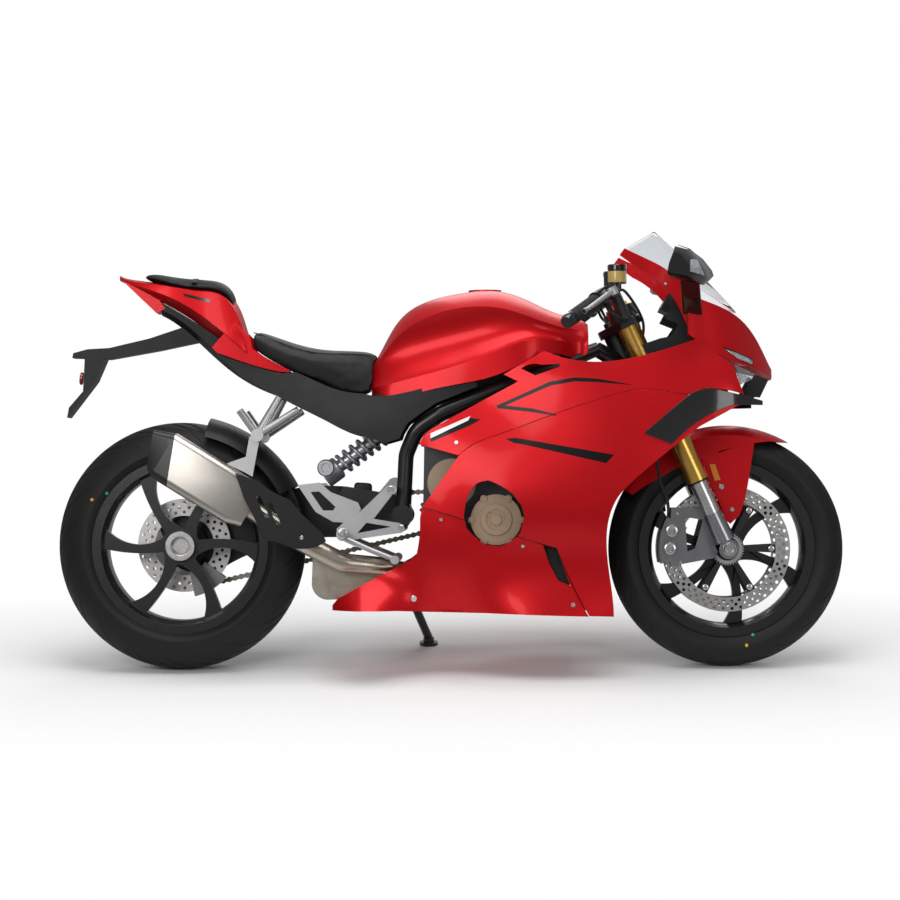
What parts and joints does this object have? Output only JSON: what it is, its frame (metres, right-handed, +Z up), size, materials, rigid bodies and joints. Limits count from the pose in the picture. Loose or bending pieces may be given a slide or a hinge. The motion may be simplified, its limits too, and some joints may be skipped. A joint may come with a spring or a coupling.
{
  "type": "sport motorcycle",
  "caption": "Fully faired sport motorcycle leaning on its side stand, with steered front wheel, single-sided swingarm, upswept silencer and mirrors.",
  "frame": {"origin": "middle of the bottom of the space that the parked motorcycle takes up, on the floor", "axes": "+X towards the front of the motorcycle, +Y to its left, +Z up; it leans 10 degrees to the left on its side stand"},
  "size_m": [2.0027, 0.7884, 1.0992],
  "materials": {
    "body_black": "satin",
    "body_red": "satin",
    "bronze": "satin",
    "caliper": "satin",
    "clamp_black": "satin",
    "engine_metal": "satin",
    "exhaust_steel": "brushed",
    "frame_black": "satin",
    "gold": "satin",
    "lamp_lens": "gloss",
    "plate_black": "matte",
    "radiator": "matte",
    "rearset_metal": "satin",
    "screen": "gloss",
    "seat_vinyl": "matte",
    "shield_black": "matte",
    "spring": "satin",
    "steel": "brushed",
    "swingarm_metal": "satin",
    "tyre": "matte",
    "wheel_black": "satin"
  },
  "bodies": {
    "frame": {"steering_head": "frame_black", "frame_spar_right": "frame_black", "frame_spar_left": "frame_black", "engine_block": "engine_metal", "clutch_cover": "bronze", "radiator": "radiator", "exhaust_pipe": "exhaust_steel", "silencer": "exhaust_steel", "heat_shield": "shield_black", "fuel_tank": "body_red", "rider_seat": "seat_vinyl", "pillion_seat": "seat_vinyl", "tail_cowl": "body_red", "undertail": "body_black", "side_cover_right": "body_black", "side_cover_left": "body_black", "upper_fairing_right": "body_red", "upper_fairing_left": "body_red", "side_fairing_right": "body_red", "side_fairing_left": "body_red", "belly_fairing_right": "body_red", "belly_fairing_left": "body_red", "nose_cowl": "body_red", "headlamps": "lamp_lens", "windscreen": "screen", "mirrors": "body_black", "winglets": "body_black", "cockpit": "body_black", "swingarm": "swingarm_metal", "rear_shock": "spring", "rear_hugger": "body_black", "plate_hanger": "plate_black", "rearset_right": "rearset_metal", "rearset_left": "rearset_metal", "pillion_pegs": "rearset_metal", "rear_caliper": "caliper", "drive_chain": "steel"},
    "fork": {"fork_legs": "gold", "fork_clamps": "clamp_black", "handlebar_right": "clamp_black", "handlebar_left": "clamp_black", "front_fender": "body_red", "front_calipers": "caliper", "brake_hoses": "tyre", "front_axle": "steel"},
    "front_wheel": {"front_rim": "wheel_black", "front_tyre": "tyre", "front_discs": "steel"},
    "rear_wheel": {"rear_rim": "wheel_black", "rear_tyre": "tyre", "rear_disc": "steel", "rear_drive": "steel"},
    "side_stand": {"side_stand": "clamp_black"}
  },
  "joints": [
    {"name": "steering", "type": "hinge", "parent": "frame", "child": "fork", "pos_m": [0.4699, -0.04433, 0.7334], "axis": [-0.4067, 0.1586, 0.8997], "range_deg": [-24, 24]},
    {"name": "front_wheel_spin", "type": "hinge", "parent": "fork", "child": "front_wheel", "pos_m": [0.7025, -0.12139, 0.29638], "axis": [0, 0.9848, -0.1736], "continuous": true},
    {"name": "rear_wheel_spin", "type": "hinge", "parent": "frame", "child": "rear_wheel", "pos_m": [-0.6875, -0.1187, 0.31161], "axis": [0, 0.9848, -0.1736], "continuous": true},
    {"name": "side_stand_fold", "type": "hinge", "parent": "frame", "child": "side_stand", "pos_m": [-0.1275, 0.01314, 0.19553], "axis": [0.1199, 0.9056, 0.4069], "range_deg": [0, 95]}
  ]
}
